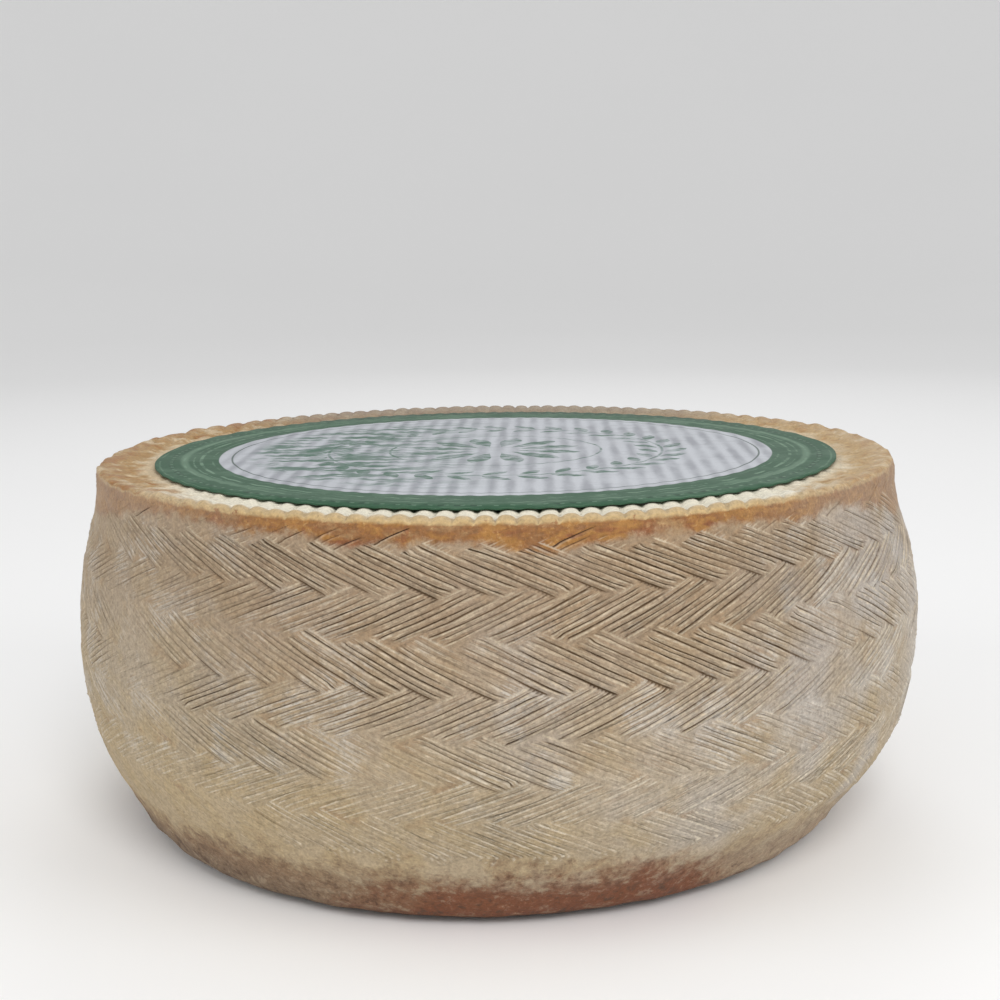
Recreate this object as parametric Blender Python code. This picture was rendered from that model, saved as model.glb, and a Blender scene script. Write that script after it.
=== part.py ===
"""A whole round wheel of pressed sheep's milk cheese with its top label.

The wheel stands on its flat base, centred over the origin, +Z up. The front
of the wheel faces -Y. Lengths are in metres.

The side is a barrel. Seven rows of slanting strokes run round it, each row
leaning the other way from the one above, as a plaited band leaves them in
soft curd. The top face carries straight round ribs that end at a raised rim.
A thin round paper label lies on the ribs.
"""

import math
import random

import bmesh
import bpy

# Barrel side, from the base up: height above the base and radius there.
BASE_RADIUS = 0.0800
SIDE_HEIGHTS = (0.0, 0.0030, 0.0079, 0.0159, 0.0277, 0.0416, 0.0555, 0.0674, 0.0773, 0.0837, 0.0892)
SIDE_RADII = (0.0840, 0.0882, 0.0912, 0.0965, 0.1023, 0.1050, 0.1052, 0.1036, 0.1008, 0.0996, 0.0991)

# Plaited relief: the lines between the rows and the depth of the grooves there. A groove
# runs straight from line to line while its ridge follows the barrel, so it is deepest
# halfway. The strokes are slightly wider than life, which keeps the solid light.
ROW_LINES = (0.0186, 0.0285, 0.0371, 0.0471, 0.0565, 0.0668, 0.0755, 0.0837)
LINE_DEPTHS = (0.00002, 0.00004, 0.00006, 0.00010, 0.00022, 0.00026, 0.00026, 0.00016)
STROKE_COUNT = 180
STROKE_UNEVENNESS = 0.00014
LEAN = math.radians(11.3)

# Smooth bands above and below the plaited rows.
BAND_COLUMNS = 60
LIP_HEIGHTS = (0.0858, 0.0876, 0.0888)
LIP_ROUNDING = (0.0, 0.0002, 0.0010)
LIP_INNER_RADIUS = 0.0962
LIP_INNER_HEIGHT = 0.0888
FOOT_HEIGHTS = (0.0142, 0.0098, 0.0058, 0.0028, 0.0008)
FOOT_ROUGHNESS = 0.0004
FOOT_SHIFT = -0.0026
FOOT_SHIFT_HEIGHT = 0.0300

# Slow unevenness of the hand-turned shape.
OVAL = 0.00035
SQUARING = 0.00020

# Ribs of the top face. They run front to back, turned by a small yaw.
RIB_PITCH = 0.0042
RIB_HEIGHT = 0.0013
RIB_OFFSET = 0.00095
RIB_YAW = math.radians(-1.8)
RIB_END_RADIUS = 0.0974
RIB_VALLEY = 0.0874
RIB_SAMPLES = (0.0, 0.15, 0.5, 0.85)
RIM_RISE = 0.0013
RIM_WIDTH = 0.0080
RIB_FADE_START = 0.060
RIB_FADE_END = 0.092
RIB_FADE_REST = 0.35
RIB_PLATE_FLOOR = 0.0800

# Paper label on the ribs.
LABEL_RADIUS = 0.0854
LABEL_THICKNESS = 0.0003
LABEL_GAP = 0.0003
LABEL_SEGMENTS = 96

CREASE_ANGLE = math.radians(40.0)
RIND_COLOUR = (0.40, 0.31, 0.20, 1.0)
RIND_ROUGHNESS = 0.6
LABEL_COLOUR = (0.11, 0.18, 0.12, 1.0)
LABEL_ROUGHNESS = 0.45

TURN = 2.0 * math.pi
CHANCE = random.Random(41)


def clear_scene():
    for thing in list(bpy.data.objects):
        bpy.data.objects.remove(thing)


def smooth_step(value):
    held = min(max(value, 0.0), 1.0)
    return held * held * (3.0 - 2.0 * held)


def side_radius(height):
    """Radius of the barrel at a height, through the stations with smooth slopes."""
    last = len(SIDE_HEIGHTS) - 1
    span = 0
    while span < last - 1 and height > SIDE_HEIGHTS[span + 1]:
        span += 1
    low = SIDE_HEIGHTS[span]
    step = SIDE_HEIGHTS[span + 1] - low
    t = min(max((height - low) / step, 0.0), 1.0)

    def slope(station):
        before = max(station - 1, 0)
        after = min(station + 1, last)
        return (SIDE_RADII[after] - SIDE_RADII[before]) / (SIDE_HEIGHTS[after] - SIDE_HEIGHTS[before])

    start = SIDE_RADII[span]
    end = SIDE_RADII[span + 1]
    rise = end - start
    bend_in = slope(span) * step
    bend_out = slope(span + 1) * step
    return start + t * (bend_in + t * (3 * rise - 2 * bend_in - bend_out + t * (bend_in + bend_out - 2 * rise)))


def unevenness(angle, height):
    oval = OVAL * math.cos(2 * angle + 40 * height)
    return oval + SQUARING * math.cos(4 * angle - 90 * height + 1.0)


def side_point(angle, height, radius):
    """A point of the side. The foot stands slightly off the axis of the barrel."""
    full = radius + unevenness(angle, height)
    shift = FOOT_SHIFT * (1.0 - smooth_step(height / FOOT_SHIFT_HEIGHT))
    return (full * math.cos(angle) + shift, full * math.sin(angle), height)


def add_ring(mesh, count, turned, height, radius_at):
    ring = []
    for column in range(count):
        angle = TURN * column / count + turned
        ring.append(mesh.verts.new(side_point(angle, height, radius_at(column))))
    return ring


def join_rings(mesh, lower, upper):
    """Two triangles for each column between rings of equal count."""
    count = len(lower)
    for column in range(count):
        after = (column + 1) % count
        mesh.faces.new((lower[column], lower[after], upper[after]))
        mesh.faces.new((lower[column], upper[after], upper[column]))


def join_coarse_to_fine(mesh, coarse, fine, fine_is_above):
    """Joins a ring to one that has several columns for each of its own."""
    ratio = len(fine) // len(coarse)
    half = ratio // 2
    for column in range(len(coarse)):
        here = coarse[column]
        after = coarse[(column + 1) % len(coarse)]
        points = [fine[(ratio * column + step) % len(fine)] for step in range(ratio + 1)]
        triangles = [(here, points[step + 1], points[step]) for step in range(half)]
        triangles.append((here, after, points[half]))
        triangles += [(after, points[step + 1], points[step]) for step in range(half, ratio)]
        for triangle in triangles:
            mesh.faces.new(triangle if fine_is_above else triangle[::-1])


def plaited_ring(mesh, line):
    """A ring of ridges and grooves. Rings lean to and fro, which makes the strokes zigzag."""
    height = ROW_LINES[line]
    turned = LEAN if line % 2 == 0 else 0.0
    depth = LINE_DEPTHS[line]
    around = side_radius(height)

    def radius_at(column):
        if column % 2 == 0:
            return around
        return around - depth - STROKE_UNEVENNESS * CHANCE.uniform(-1.0, 1.0)

    return add_ring(mesh, 2 * STROKE_COUNT, turned, height, radius_at)


def join_row(mesh, lower, upper, line):
    """One row of strokes. Its ridges have a point halfway up, its grooves have none."""
    height = 0.5 * (ROW_LINES[line] + ROW_LINES[line + 1])
    around = side_radius(height)
    middle = add_ring(mesh, STROKE_COUNT, 0.5 * LEAN, height, lambda column: around)
    for stroke in range(STROKE_COUNT):
        after = (stroke + 1) % STROKE_COUNT
        groove = (lower[2 * stroke + 1], upper[2 * stroke + 1])
        here = (lower[2 * stroke], middle[stroke], upper[2 * stroke])
        beyond = (lower[2 * after], middle[after], upper[2 * after])
        mesh.faces.new((here[0], groove[0], here[1]))
        mesh.faces.new((here[1], groove[0], groove[1]))
        mesh.faces.new((here[1], groove[1], here[2]))
        mesh.faces.new((groove[0], beyond[0], beyond[1]))
        mesh.faces.new((groove[0], beyond[1], groove[1]))
        mesh.faces.new((groove[1], beyond[1], beyond[2]))


def band_ring(mesh, turned, height, radius, roughness):
    def radius_at(column):
        return radius + roughness * CHANCE.uniform(-1.0, 1.0)

    return add_ring(mesh, BAND_COLUMNS, turned, height, radius_at)


def make_object(name, mesh):
    bmesh.ops.recalc_face_normals(mesh, faces=mesh.faces)
    data = bpy.data.meshes.new(name)
    mesh.to_mesh(data)
    mesh.free()
    thing = bpy.data.objects.new(name, data)
    bpy.context.scene.collection.objects.link(thing)
    return thing


def build_barrel():
    """The body without its ribs, as one closed skin from base to lip."""
    mesh = bmesh.new()
    plaited = [plaited_ring(mesh, line) for line in range(len(ROW_LINES))]
    for line in range(len(ROW_LINES) - 1):
        join_row(mesh, plaited[line], plaited[line + 1], line)

    foot = [band_ring(mesh, LEAN, z, side_radius(z), FOOT_ROUGHNESS) for z in FOOT_HEIGHTS]
    foot.append(band_ring(mesh, LEAN, 0.0, BASE_RADIUS, 0.0))
    join_coarse_to_fine(mesh, foot[0], plaited[0], True)
    for upper, lower in zip(foot, foot[1:]):
        join_rings(mesh, lower, upper)
    mesh.faces.new(foot[-1][::-1])

    lip = []
    for height, inset in zip(LIP_HEIGHTS, LIP_ROUNDING):
        lip.append(band_ring(mesh, 0.0, height, side_radius(height) - inset, 0.0))
    lip.append(band_ring(mesh, 0.0, LIP_INNER_HEIGHT, LIP_INNER_RADIUS, 0.0))
    join_coarse_to_fine(mesh, lip[0], plaited[-1], False)
    for lower, upper in zip(lip, lip[1:]):
        join_rings(mesh, lower, upper)
    mesh.faces.new(lip[-1])
    bmesh.ops.triangulate(mesh, faces=mesh.faces)
    return make_object("barrel", mesh)


def rib_surface(across, inset):
    """Height of the ribbed top at a place across the ribs and a distance inside their ends."""
    place = (across - RIB_OFFSET) / RIB_PITCH + 0.5
    part = place - math.floor(place)
    round_top = math.sqrt(max(0.0, 1.0 - (2.0 * part - 1.0) ** 2))
    fade = smooth_step((abs(across) - RIB_FADE_START) / (RIB_FADE_END - RIB_FADE_START))
    share = 1.0 - (1.0 - RIB_FADE_REST) * fade
    rise = RIM_RISE * (1.0 - min(inset / RIM_WIDTH, 1.0))
    middle = RIB_VALLEY + 0.5 * RIB_HEIGHT + rise
    return middle + RIB_HEIGHT * share * (round_top - 0.5)


def rib_lines():
    """Places across the ribs where the ribbed skin has a line of points."""
    reach = RIB_END_RADIUS - 0.0015
    first = math.ceil((-reach - RIB_OFFSET) / RIB_PITCH)
    last = math.floor((reach - RIB_OFFSET) / RIB_PITCH)
    places = []
    for rib in range(first, last + 1):
        start = RIB_OFFSET + (rib - 0.5) * RIB_PITCH
        places += [start + sample * RIB_PITCH for sample in RIB_SAMPLES]
    return [place for place in places if abs(place) < reach]


def build_rib_plate():
    """The ribbed top skin with a flat underside that sinks into the barrel."""
    mesh = bmesh.new()
    upper_lines = []
    lower_lines = []
    for across in rib_lines():
        reach = math.sqrt(RIB_END_RADIUS**2 - across**2)
        inner = max(reach - RIM_WIDTH * RIB_END_RADIUS / reach, 0.3 * reach)
        upper = []
        lower = []
        for along in (-reach, -inner, inner, reach):
            inset = RIB_END_RADIUS - math.hypot(across, along)
            x = across * math.cos(RIB_YAW) - along * math.sin(RIB_YAW)
            y = across * math.sin(RIB_YAW) + along * math.cos(RIB_YAW)
            upper.append(mesh.verts.new((x, y, rib_surface(across, inset))))
            lower.append(mesh.verts.new((x, y, RIB_PLATE_FLOOR)))
        upper_lines.append(upper)
        lower_lines.append(lower)

    for lines in (upper_lines, lower_lines):
        for left, right in zip(lines, lines[1:]):
            for step in range(len(left) - 1):
                mesh.faces.new((left[step], right[step], right[step + 1], left[step + 1]))
    for index in range(len(upper_lines) - 1):
        for end in (0, -1):
            corners = (upper_lines[index][end], upper_lines[index + 1][end])
            floor = (lower_lines[index + 1][end], lower_lines[index][end])
            mesh.faces.new(corners + floor)
    for end in (0, -1):
        for step in range(len(upper_lines[end]) - 1):
            top = (upper_lines[end][step], upper_lines[end][step + 1])
            floor = (lower_lines[end][step + 1], lower_lines[end][step])
            mesh.faces.new(top + floor)
    bmesh.ops.triangulate(mesh, faces=mesh.faces)
    return make_object("rib_plate", mesh)


def join_pieces(name, pieces):
    """Joins overlapping pieces into one solid by a single union."""
    first, rest = pieces[0], pieces[1:]
    group = bpy.data.collections.new(name + "_pieces")
    bpy.context.scene.collection.children.link(group)
    for piece in rest:
        bpy.context.scene.collection.objects.unlink(piece)
        group.objects.link(piece)
    union = first.modifiers.new("union", "BOOLEAN")
    union.operation = "UNION"
    union.solver = "EXACT"
    union.operand_type = "COLLECTION"
    union.collection = group
    graph = bpy.context.evaluated_depsgraph_get()
    joined = bpy.data.meshes.new_from_object(first.evaluated_get(graph))
    first.modifiers.clear()
    first.data = joined
    for piece in rest:
        bpy.data.objects.remove(piece)
    bpy.data.collections.remove(group)
    first.name = name
    first.data.name = name
    return first


def build_label():
    mesh = bmesh.new()
    floor = RIB_VALLEY + RIB_HEIGHT + LABEL_GAP
    rings = []
    for height in (floor, floor + LABEL_THICKNESS):
        ring = []
        for segment in range(LABEL_SEGMENTS):
            angle = TURN * segment / LABEL_SEGMENTS
            ring.append(mesh.verts.new((LABEL_RADIUS * math.cos(angle), LABEL_RADIUS * math.sin(angle), height)))
        rings.append(ring)
    join_rings(mesh, rings[0], rings[1])
    mesh.faces.new(rings[0][::-1])
    mesh.faces.new(rings[1])
    return make_object("label", mesh)


def give_material(thing, name, colour, roughness):
    material = bpy.data.materials.new(name)
    material.use_nodes = True
    shader = material.node_tree.nodes["Principled BSDF"]
    shader.inputs["Base Color"].default_value = colour
    shader.inputs["Roughness"].default_value = roughness
    shader.inputs["Metallic"].default_value = 0.0
    material.diffuse_color = colour
    thing.data.materials.clear()
    thing.data.materials.append(material)


def shade_round(thing):
    """Soft shading over gentle bends, with a crease wherever two faces meet sharply."""
    thing.data.shade_smooth()
    thing.data.set_sharp_from_angle(angle=CREASE_ANGLE)


def main():
    clear_scene()
    wheel = join_pieces("wheel", [build_barrel(), build_rib_plate()])
    shade_round(wheel)
    give_material(wheel, "rind", RIND_COLOUR, RIND_ROUGHNESS)
    label = build_label()
    shade_round(label)
    give_material(label, "printed_paper", LABEL_COLOUR, LABEL_ROUGHNESS)


main()
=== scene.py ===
# %% [markdown]
# # A plaited wheel of sheep's milk cheese
#
# This lesson dresses a plain solid of a cheese wheel, so that it looks like a real one. The
# wheel was pressed in a plaited band, which left rows of slanting strokes round its side, and
# between slatted boards, which left straight round ribs on top. A thin paper label lies on
# the ribs. First the plain solids are loaded from model.glb.

import math
import random

import bmesh
import bpy
from mathutils import Matrix, Vector, noise


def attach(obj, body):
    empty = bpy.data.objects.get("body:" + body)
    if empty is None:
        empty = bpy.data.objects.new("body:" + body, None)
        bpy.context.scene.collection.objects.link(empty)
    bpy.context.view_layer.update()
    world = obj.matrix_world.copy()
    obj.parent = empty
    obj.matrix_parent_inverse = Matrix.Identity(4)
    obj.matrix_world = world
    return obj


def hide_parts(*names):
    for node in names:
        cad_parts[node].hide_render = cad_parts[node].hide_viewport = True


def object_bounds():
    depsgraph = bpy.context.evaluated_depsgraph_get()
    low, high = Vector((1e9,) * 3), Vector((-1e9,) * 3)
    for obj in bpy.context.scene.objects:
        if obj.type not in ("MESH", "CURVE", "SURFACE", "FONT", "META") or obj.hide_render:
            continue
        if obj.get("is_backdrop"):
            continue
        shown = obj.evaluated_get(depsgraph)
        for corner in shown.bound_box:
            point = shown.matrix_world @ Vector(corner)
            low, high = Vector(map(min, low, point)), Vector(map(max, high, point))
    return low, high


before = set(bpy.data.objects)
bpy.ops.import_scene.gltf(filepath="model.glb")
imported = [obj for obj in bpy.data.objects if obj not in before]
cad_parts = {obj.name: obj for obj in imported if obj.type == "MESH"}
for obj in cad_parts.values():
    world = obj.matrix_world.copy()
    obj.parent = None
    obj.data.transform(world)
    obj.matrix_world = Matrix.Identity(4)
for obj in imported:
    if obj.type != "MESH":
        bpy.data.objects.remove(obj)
solid_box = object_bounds()
MM = 0.001
TURN = 2.0 * math.pi
print("solids loaded:", *sorted(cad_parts))

# %% [markdown]
# ## Sizes of the wheel
#
# The side of the wheel is a barrel. A barrel can be drawn as one smooth line through a few
# heights and radii and then spun round the axis, as on a lathe. The same few numbers serve
# every part of the wheel, so they are kept in one place, in millimetres.

# %% Name the sizes
SIDE = (
    (0.0, 84.0),
    (3.0, 88.2),
    (7.9, 91.2),
    (15.9, 96.5),
    (27.7, 102.3),
    (41.6, 105.0),
    (55.5, 105.2),
    (67.4, 103.6),
    (77.3, 100.8),
    (83.7, 99.6),
    (89.2, 99.1),
)
ROW_LINES = (18.6, 28.5, 37.1, 47.1, 56.5, 66.8, 75.5, 83.7)
RIB_PITCH = 4.2
RIB_HEIGHT = 1.3
RIB_OFFSET = 0.95
RIB_YAW = math.radians(-1.8)
LABEL_RADIUS = 85.4
LABEL_TOP = 89.3
print("wheel", 2 * max(radius for height, radius in SIDE), "mm across")


def smooth(value, start=0.0, end=1.0):
    """Rises from 0 to 1 between two places, with soft ends."""
    held = min(max((value - start) / (end - start), 0.0), 1.0)
    return held * held * (3.0 - 2.0 * held)


def side_radius(height):
    """Radius of the barrel at a height, on one smooth line through the named sizes."""
    last = len(SIDE) - 1
    span = 0
    while span < last - 1 and height > SIDE[span + 1][0]:
        span += 1
    (low, start), (high, end) = SIDE[span], SIDE[span + 1]
    step = high - low
    part = min(max((height - low) / step, 0.0), 1.0)

    def bend(place):
        """Slope of the line at one of the named sizes."""
        before, after = SIDE[max(place - 1, 0)], SIDE[min(place + 1, last)]
        return (after[1] - before[1]) / (after[0] - before[0]) * step

    rise, into, out = end - start, bend(span), bend(span + 1)
    swell = 3 * rise - 2 * into - out + part * (into + out - 2 * rise)
    return start + part * (into + part * swell)


# %% [markdown]
# ## The plait as a lattice
#
# A plaited band is woven from flat strands. Each strand pressed four fine strokes into the
# curd, then dived under its neighbour, so the rows meet in a zigzag and not in a straight
# line. A sharp groove needs mesh points that lie exactly on it. The trick here is a lattice:
# four columns for each stroke, and rings spaced so that a stroke climbs one ring for each
# column. Then strokes that lean either way run through lattice points. Between the zigzags
# the columns themselves lean with the strokes, which saves a great many rings.

# %% Set out the lattice
STROKES = 224
PER_STROKE = 4
COLUMNS = PER_STROKE * STROKES
BUNDLE = 4 * PER_STROKE
BUNDLES = COLUMNS // BUNDLE
ROW_UNITS = 28
REACH = 4
PLAIN_UNITS = ROW_UNITS - 2 * REACH
LAST_LINE = len(ROW_LINES) - 1
print(STROKES, "strokes a turn in", BUNDLES, "bundles,", COLUMNS, "columns")


def lean_of(row):
    """Odd rows lean to the right going up, even rows to the left."""
    return 1 if row % 2 else -1


def height_of(units):
    """Height in millimetres of a place on the lattice."""
    line = min(max(int(units // ROW_UNITS), 0), LAST_LINE - 1)
    low, high = ROW_LINES[line], ROW_LINES[line + 1]
    return low + (high - low) * (units - line * ROW_UNITS) / ROW_UNITS


def zigzag_start(line):
    """Column where the zigzags of a line begin: every other line is moved by one stroke."""
    return PER_STROKE * (line % 2)


def zigzag(line, column):
    """How far the edge between two rows stands above its line, in lattice units."""
    place = (column - zigzag_start(line)) % BUNDLE
    return place - REACH if place < 2 * REACH else 3 * REACH - place


def row_at(units, column):
    """The row of strokes at a place: -1 is the foot, and the last one runs into the lip."""
    line = min(max(round(units / ROW_UNITS), 0), LAST_LINE)
    above = units - line * ROW_UNITS >= zigzag(line, column)
    return line if above else line - 1


def stroke_place(row, units, column):
    """Across all strokes in columns, across its bundle from 0 to 1, and along the stroke."""
    lean = lean_of(row)
    climb = units - row * ROW_UNITS
    across = column - lean * climb
    part = ((across - zigzag_start(row) - REACH * lean) % BUNDLE) / BUNDLE
    along = (climb - lean * REACH * (1 - 2 * part)) / ROW_UNITS
    return across, part, along


# %% [markdown]
# ## Depths of the strokes
#
# No two strokes on a real wheel are alike: one is deep and dark, the next has almost gone.
# The upper rows are deep. The lower ones are faint, with thin raised lines. A seeded random
# number for each stroke gives this unevenness, and it is the same each time. A few strokes
# are gashes that run on into the lip.

# %% Draw the depths
ROW_DEPTH = (0.10, 0.15, 0.30, 0.44, 0.54, 0.58, 0.56, 0.45)
GASH_SHARE = 0.22
chance = random.Random(7)


def drawn(count, low, high, power=1.0):
    """One random number for each stroke or bundle of each row."""
    spread = high - low
    return [[low + spread * chance.random() ** power for item in range(count)] for row in ROW_DEPTH]


stroke_depth = drawn(STROKES, 0.35, 1.15)
stroke_start = drawn(STROKES, 0.0, 0.12, 2.0)
stroke_finish = drawn(STROKES, 0.0, 0.14, 2.0)
stroke_shift = drawn(STROKES, -0.95, 0.95)
stroke_wave = drawn(STROKES, 0.0, TURN)
stroke_middle = drawn(STROKES, -0.14, 0.12)
bundle_bend = drawn(BUNDLES, -0.9, 0.9)
bundle_lift = drawn(BUNDLES, -0.10, 0.16)
gash = [chance.random() < GASH_SHARE for stroke in range(STROKES)]
print("deepest stroke", round(max(map(max, stroke_depth)) * max(ROW_DEPTH), 2), "mm")

# %% [markdown]
# ## How the strokes wander
#
# The strands were soft, so their strokes run a little crooked, and each groove is narrower
# than the ridge beside it. Points are moved sideways for this, but not at the zigzags, which
# hold neighbouring rows together.

# %% Let the strokes wander
WANDER = 0.36
PINCH = 0.65


def bundle_of(row, across):
    """Number of the bundle of four strokes that a place lies in."""
    return int((across - zigzag_start(row) - REACH * lean_of(row)) // BUNDLE) % BUNDLES


def between_strokes(values, across):
    """A value of the strokes, blended from one stroke to the next."""
    stroke = math.floor(across / PER_STROKE)
    part = across / PER_STROKE - stroke
    return values[stroke % STROKES] * (1.0 - part) + values[(stroke + 1) % STROKES] * part


def edge_distance(row, units, column):
    """Lattice units from a place to the nearer of the two zigzag edges of its row."""
    climb = units - row * ROW_UNITS
    below = climb - zigzag(row, column)
    above = ROW_UNITS + zigzag(row + 1, column) - climb if row < LAST_LINE else ROW_UNITS
    return min(below, above)


def sway(row, units, column):
    """Sideways shift of a place in columns: strokes wander, and their grooves are narrow."""
    across, part, along = stroke_place(row, units, column)
    held = smooth(edge_distance(row, units, column), 0.0, 7.0)
    own = between_strokes(stroke_shift[row], across)
    wave = WANDER * math.sin(8.0 * along + between_strokes(stroke_wave[row], across))
    from_groove = (across + 2) % PER_STROKE - 2
    out = abs(from_groove)
    pinch = PINCH * out if out < 1 else PINCH + (2.0 - PINCH) * (out - 1)
    pinch = math.copysign(pinch, from_groove) - from_groove
    bend = bundle_bend[row][bundle_of(row, across)] * 4 * part * (1 - part)
    return held * (own + wave + pinch + bend)


print("a stroke in mid row sways by", round(sway(3, 3.5 * ROW_UNITS, 0), 2), "columns")

# %% [markdown]
# ## Height across a stroke
#
# Across a stroke the rind goes from the bottom of the groove, over a thin rubbed edge, to a
# rounded ridge. Each bundle is tucked in at its ends, where it dived under the next. Worn
# strokes never vanish quite: their strength stays between the weakest and the strongest.

# %% Shape the strokes
LIP_RAISE = (0.24, 0.24, 0.20, 0.16, 0.14, 0.14, 0.12, 0.08)
WEAKEST, STRONGEST = 0.06, 1.4
SOFT_END = 0.06
TUCK_SHARE = 0.22
BULGE_SHARE = 0.26
SEAM_SHARE = 0.8


def relief(row, units, column, drift):
    """Height of the stroke relief in mm, and how far the place is down a groove and on a lip."""
    if row < 0:
        return 0.0, 0.0, 0.0
    across, part, along = stroke_place(row, units, column)
    stroke = round(across / PER_STROKE) % STROKES
    from_groove = abs((across + 2) % PER_STROKE - 2)
    start, finish = stroke_start[row][stroke], 1.0 - stroke_finish[row][stroke]
    if row == LAST_LINE:
        start, finish = -0.05, 0.09 + 0.34 * stroke_depth[row][stroke] * gash[stroke]
    held = smooth(along, start - SOFT_END, start + SOFT_END)
    held *= smooth(finish + SOFT_END - along, 0.0, 2 * SOFT_END)
    strength = min(max(1.0 + drift, WEAKEST), STRONGEST)
    row_depth = ROW_DEPTH[row]
    depth = row_depth * stroke_depth[row][stroke] * held * strength
    if row == LAST_LINE and not gash[stroke]:
        depth *= 0.3
    if (part < 0.05 or part > 0.95) and row < LAST_LINE:
        depth = max(depth, SEAM_SHARE * row_depth * held * strength)
    at_ends = 2.0 - smooth(along, -0.02, 0.14) - smooth(1.0 - along, -0.02, 0.14)
    tuck = TUCK_SHARE * row_depth * strength * at_ends
    bulge = BULGE_SHARE * row_depth * strength * 4.0 * part * (1.0 - part)
    bulge += bundle_lift[row][bundle_of(row, across)] * held
    if row == LAST_LINE:
        tuck, bulge = 0.0, 0.0
    if from_groove < 0.5:
        return bulge - tuck - depth, depth, 0.0
    if from_groove > 1.5:
        return bulge - tuck + stroke_middle[row][stroke] * held * strength, 0.0, 0.0
    share = 1.0 if (across * lean_of(row)) % PER_STROKE < 1.5 else 0.35
    near_end = 0.55 + 0.6 * smooth(abs(along - 0.5), 0.15, 0.42)
    least = 0.85 if row == 1 else 0.28
    on_lip = held * max(strength, least) * near_end * share * (0.35 + stroke_depth[row][stroke])
    if row == LAST_LINE:
        on_lip *= 0.4
    return bulge - tuck + LIP_RAISE[row] * on_lip, 0.0, min(on_lip, 1.3)


print("strength of the strokes from", WEAKEST, "to", STRONGEST)

# %% [markdown]
# ## The ribs of the top
#
# The board pressed round ribs into the top face. They run straight from front to back and
# rise a little toward the rim, where they end in a scalloped edge. Toward the left and right
# sides they have nearly worn away. One formula gives the height of the top at any place.

# %% Shape the ribs
def across_ribs(x, y):
    """Distance from the axis, measured square to the ribs."""
    return x * math.cos(RIB_YAW) + y * math.sin(RIB_YAW)


def rib_wave(x, y):
    """Half-round section of the ribs, from -0.5 in a valley to 0.5 on a crest, where not worn."""
    across = across_ribs(x, y)
    place = ((across - RIB_OFFSET) / RIB_PITCH + 0.5) % 1.0
    rounded = math.sqrt(max(0.0, 1.0 - (2.0 * place - 1.0) ** 2))
    kept_at_side = 1.0 - (0.75 - 0.60 * smooth(y, 0.0, 45.0)) * smooth(abs(across), 62.0, 90.0)
    kept_at_back = 1.0 - 0.35 * smooth(y, 40.0, 85.0)
    return (rounded - 0.5) * kept_at_side * kept_at_back


print("ribs across the top:", round(2 * 97 / RIB_PITCH))

# %% [markdown]
# ## Spin the wheel
#
# The outline of the wheel is a chain of points from the middle of the base, round the side,
# to the middle of the top. `bmesh.ops.spin` turns it once round the axis and makes every
# face. A number on each point keeps its place on the chain. Each station of the chain holds
# its radius and height, its lattice units if it has them, the lean of the columns there,
# and how much of the rib wave it carries.

# %% List the stations of the outline
FOOT_EDGE = ((0.35, 2.2), (1.1, 0.8), (2.6, 0.3))
FOOT_HEIGHTS = (4.8, 7.4, 10.4, 13.6, 16.0)
RIM_EDGE = ((98.95, 88.1, 0.0), (98.85, 88.7, 0.5), (98.6, 89.05, 0.9), (98.1, 89.3, 1.0))
TOP_RADII = (97.4, 96.4, 95.0, 93.4, 91.6, 89.8, 88.0, 86.2, 84.4, 80.0, 74.0)
TOP_FLOOR = 88.05
RIM_RISE = 1.3
RIM_WIDTH = 8.0
stations = []


def add_station(radius, height, units=None, lean=0, ribs=0.0):
    """Adds one point of the outline, from the middle of the base outward and up."""
    stations.append(
        {"radius": radius, "height": height, "units": units, "lean": lean, "ribs": ribs}
    )


def add_side_station(units, lean):
    """Adds a point of the side at its place on the lattice."""
    height = height_of(units)
    add_station(side_radius(height), height, units, lean)


add_station(0.0, 0.0)
add_station(80.0, 0.0)
for height, inset in FOOT_EDGE:
    add_station(side_radius(height) - inset, height)
for height in FOOT_HEIGHTS:
    add_station(side_radius(height), height)

columns_leaned = 0
for line in range(LAST_LINE + 1):
    step = 2 if line == 0 else 1
    for offset in range(-REACH, REACH + 1, step):
        add_side_station(line * ROW_UNITS + offset, columns_leaned)
    if line < LAST_LINE:
        for part in (1 / 3, 2 / 3):
            climb = PLAIN_UNITS * part
            leaned = columns_leaned + lean_of(line) * PLAIN_UNITS * part
            add_side_station(line * ROW_UNITS + REACH + climb, leaned)
        columns_leaned += lean_of(line) * PLAIN_UNITS
for climb in (3, 6, 9):
    add_side_station(LAST_LINE * ROW_UNITS + REACH + climb, columns_leaned + climb)
columns_leaned += 9
for radius, height, ribs in RIM_EDGE:
    add_station(radius, height, None, columns_leaned, ribs)
for radius in TOP_RADII:
    rise = RIM_RISE * max(0.0, 1.0 - (TOP_RADII[0] - radius) / RIM_WIDTH)
    add_station(radius, TOP_FLOOR + rise, None, columns_leaned, 1.0)
add_station(0.0, TOP_FLOOR, None, columns_leaned, 0.0)
print(len(stations), "stations,", 2 * COLUMNS * (len(stations) - 2), "triangles")

# %% [markdown]
# ## Turn the outline into a wheel
#
# The outline goes once round the axis in as many steps as there are columns. The first and
# last points of it lie on the axis, so their copies are merged into one point each. That
# closes the wheel at the middle of the base and of the top.

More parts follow.
